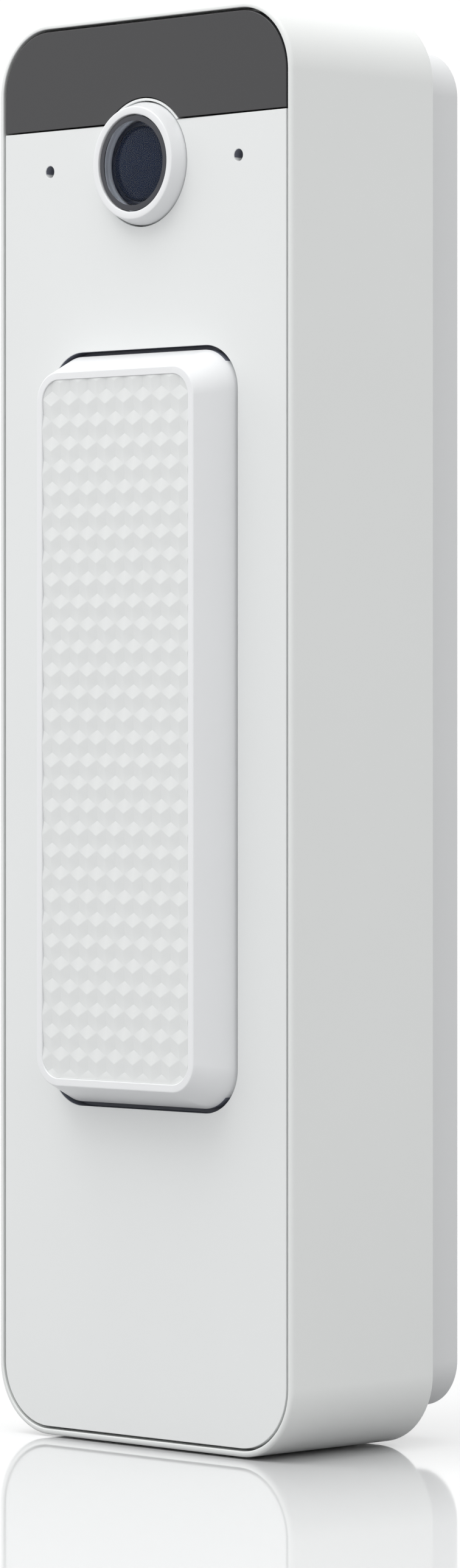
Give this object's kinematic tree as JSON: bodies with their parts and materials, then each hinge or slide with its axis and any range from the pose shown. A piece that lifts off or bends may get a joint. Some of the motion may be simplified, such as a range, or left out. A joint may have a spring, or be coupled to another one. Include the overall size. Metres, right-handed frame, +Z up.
{
  "type": "video doorbell",
  "caption": "Slim upright video doorbell: round camera and dark sensor window over a tall raised push button with a faceted insert, on a hook-on wall bracket.",
  "frame": {"origin": "middle of the foot of the whole object's box, on the surface that it stands on", "axes": "front, with the lens and the button, faces -Y; the wall side faces +Y; +X is right as seen from the front; +Z is up"},
  "size_m": [0.041, 0.0304, 0.14],
  "materials": {
    "shell_white": "satin, fine texture",
    "plate_white": "matte, fine texture",
    "gloss_white": "satin gloss",
    "window_dark": "smooth, infrared-clear",
    "lens_glass": "polished",
    "black_plastic": "matte",
    "rubber": "matte",
    "circuit_board": "solder mask",
    "steel": "tinned",
    "aluminium": "cast",
    "guide_white": "milky",
    "contact_gold": "flat flexible conductor, gold-coloured"
  },
  "bodies": {
    "main_body": {"housing": "shell_white", "front_plate": "plate_white", "rear_cover": "plate_white", "pressure_vent": "plate_white", "lens_ring": "gloss_white", "sensor_window": "window_dark", "lens_cover": "lens_glass", "lens_element": "lens_glass", "infrared_light_left": "lens_glass", "infrared_light_right": "lens_glass", "image_sensor": "lens_glass", "lens_barrel": "black_plastic", "lens_holder": "black_plastic", "light_sensor": "black_plastic", "button_tray": "black_plastic", "power_coil": "black_plastic", "speaker": "black_plastic", "plate_gasket": "rubber", "lens_gasket": "rubber", "microphone_seal_left": "rubber", "microphone_seal_right": "rubber", "button_gasket": "rubber", "speaker_gasket": "rubber", "rear_gasket": "rubber", "port_seal": "rubber", "camera_board": "circuit_board", "sensor_board": "circuit_board", "button_board": "circuit_board", "main_board": "circuit_board", "microphone_left": "steel", "microphone_right": "steel", "switch_upper": "steel", "switch_lower": "steel", "processor_shield": "steel", "reset_switch": "steel", "outlet_mesh": "steel", "ethernet_jack": "steel", "cover_screw_1": "steel", "cover_screw_2": "steel", "cover_screw_3": "steel", "cover_screw_4": "steel", "heat_spreader": "aluminium", "power_capacitor": "aluminium", "button_light_1": "guide_white", "button_light_2": "guide_white", "button_light_3": "guide_white", "button_light_4": "guide_white", "camera_ribbon": "contact_gold"},
    "push_button": {"button_cap": "gloss_white", "button_insert": "plate_white", "light_guide": "guide_white"},
    "upper_plunger": {"switch_plunger_upper": "black_plastic"},
    "lower_plunger": {"switch_plunger_lower": "black_plastic"},
    "reset_key": {"reset_button": "black_plastic"},
    "bracket": {"wall_bracket": "shell_white"},
    "lock": {"lock_screw": "steel"}
  },
  "joints": [
    {"name": "button_press", "type": "slide", "parent": "main_body", "child": "push_button", "axis": [0, 1, 0], "range_m": [0, 0.0006], "stiffness_N_per_m": 800, "springref_m": -0.001},
    {"name": "upper_plunger_travel", "type": "slide", "parent": "main_body", "child": "upper_plunger", "axis": [0, 1, 0], "range_m": [0, 0.0006]},
    {"name": "lower_plunger_travel", "type": "slide", "parent": "main_body", "child": "lower_plunger", "axis": [0, 1, 0], "range_m": [0, 0.0006]},
    {"name": "reset_press", "type": "slide", "parent": "main_body", "child": "reset_key", "axis": [0, -1, 0], "range_m": [0, 0.0004], "stiffness_N_per_m": 400, "springref_m": -0.0006},
    {"name": "bracket_swing", "type": "hinge", "parent": "main_body", "child": "bracket", "pos_m": [0, 0.0088, 0.1362], "axis": [1, 0, 0], "range_deg": [0, 12]},
    {"name": "lock_travel", "type": "slide", "parent": "bracket", "child": "lock", "axis": [0, 0, 1], "range_m": [0, 0.0025]}
  ],
  "couplings": [
    {"joint": "upper_plunger_travel", "follows": "button_press", "ratio": 1},
    {"joint": "lower_plunger_travel", "follows": "button_press", "ratio": 1}
  ]
}
